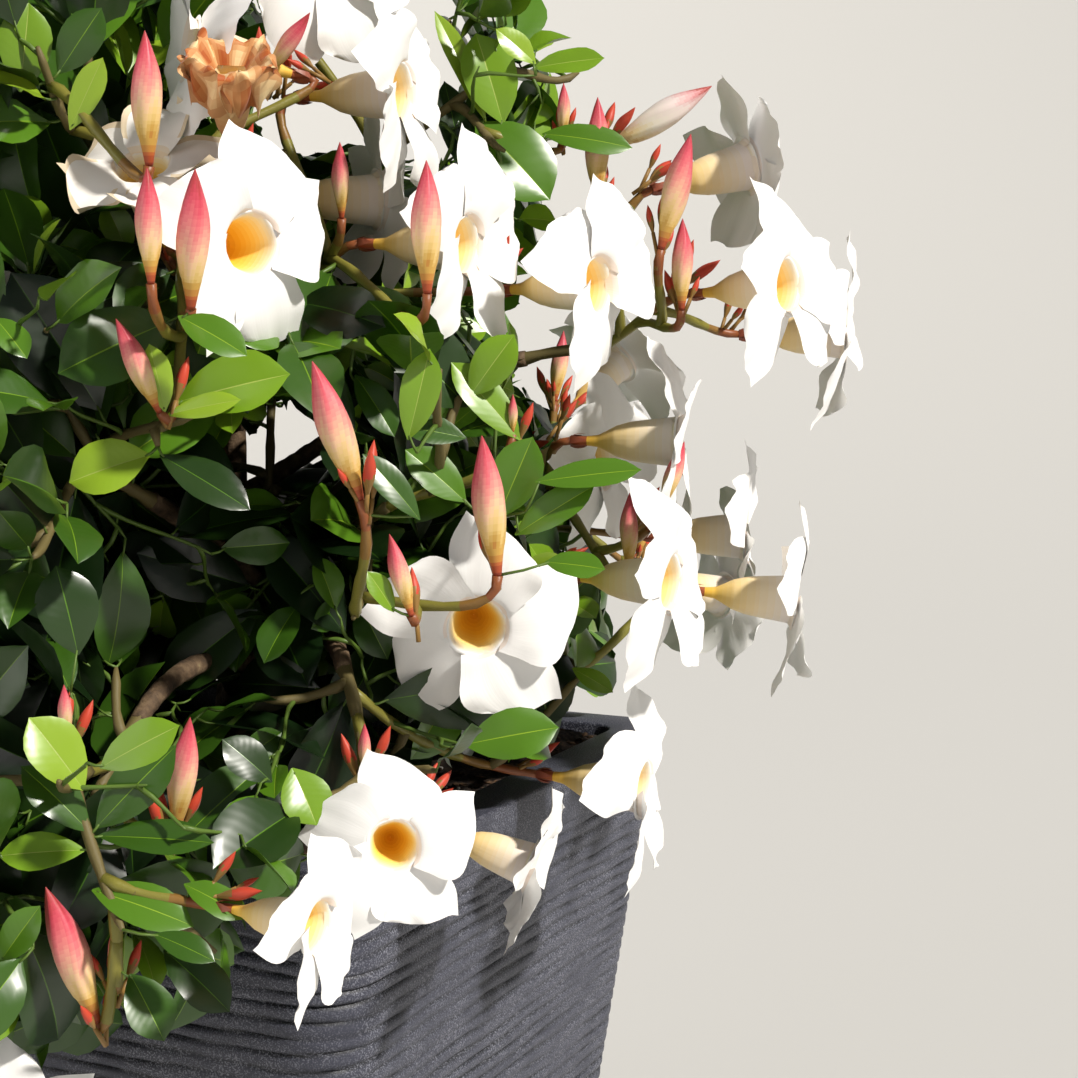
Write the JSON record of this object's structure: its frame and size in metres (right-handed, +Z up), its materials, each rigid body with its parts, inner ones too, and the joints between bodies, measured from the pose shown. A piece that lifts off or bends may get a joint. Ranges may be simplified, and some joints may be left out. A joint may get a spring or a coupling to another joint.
{
  "type": "potted shrub",
  "caption": "Bushy white-flowered mandevilla with pointed buds, growing in a square tapered planter.",
  "frame": {"origin": "middle of the planter's flat underside", "axes": "+Z up; X and Y along the planter's sides; the planter's near corner in the picture is toward +X -Y, and the plant faces 25.2 degrees round from -Y toward +X"},
  "size_m": [0.6908, 0.7239, 0.864],
  "materials": {
    "planter": "satin",
    "soil": "matte",
    "bark": "matte",
    "foliage": "satin"
  },
  "bodies": {
    "root": {"bough_back_left": "bark", "bough_back_low": "bark", "bough_back_right": "bark", "bough_back_up": "bark", "bough_front_left": "bark", "bough_front_low": "bark", "bough_front_upper": "bark", "bough_heart": "bark", "bough_left_far": "bark", "bough_left_hanging": "bark", "bough_left_low": "bark", "bough_left_up": "bark", "bough_near_low": "bark", "bough_right_far": "bark", "bough_right_low": "bark", "bough_top_left": "bark", "bough_top_right": "bark", "foliage_back_left": "foliage", "foliage_back_low": "foliage", "foliage_back_mid": "foliage", "foliage_back_right": "foliage", "foliage_back_up": "foliage", "foliage_crown_top": "foliage", "foliage_front_left": "foliage", "foliage_front_low": "foliage", "foliage_front_mid": "foliage", "foliage_front_upper": "foliage", "foliage_heart": "foliage", "foliage_left_far": "foliage", "foliage_left_hanging": "foliage", "foliage_left_low": "foliage", "foliage_left_mid": "foliage", "foliage_left_up": "foliage", "foliage_near_low": "foliage", "foliage_right_far": "foliage", "foliage_right_low": "foliage", "foliage_right_mid": "foliage", "foliage_top_left": "foliage", "foliage_top_right": "foliage", "planter": "planter", "soil": "soil", "stem_back": "bark", "stem_front": "bark", "stem_left": "bark", "stem_middle": "bark", "stem_right": "bark"}
  },
  "joints": []
}
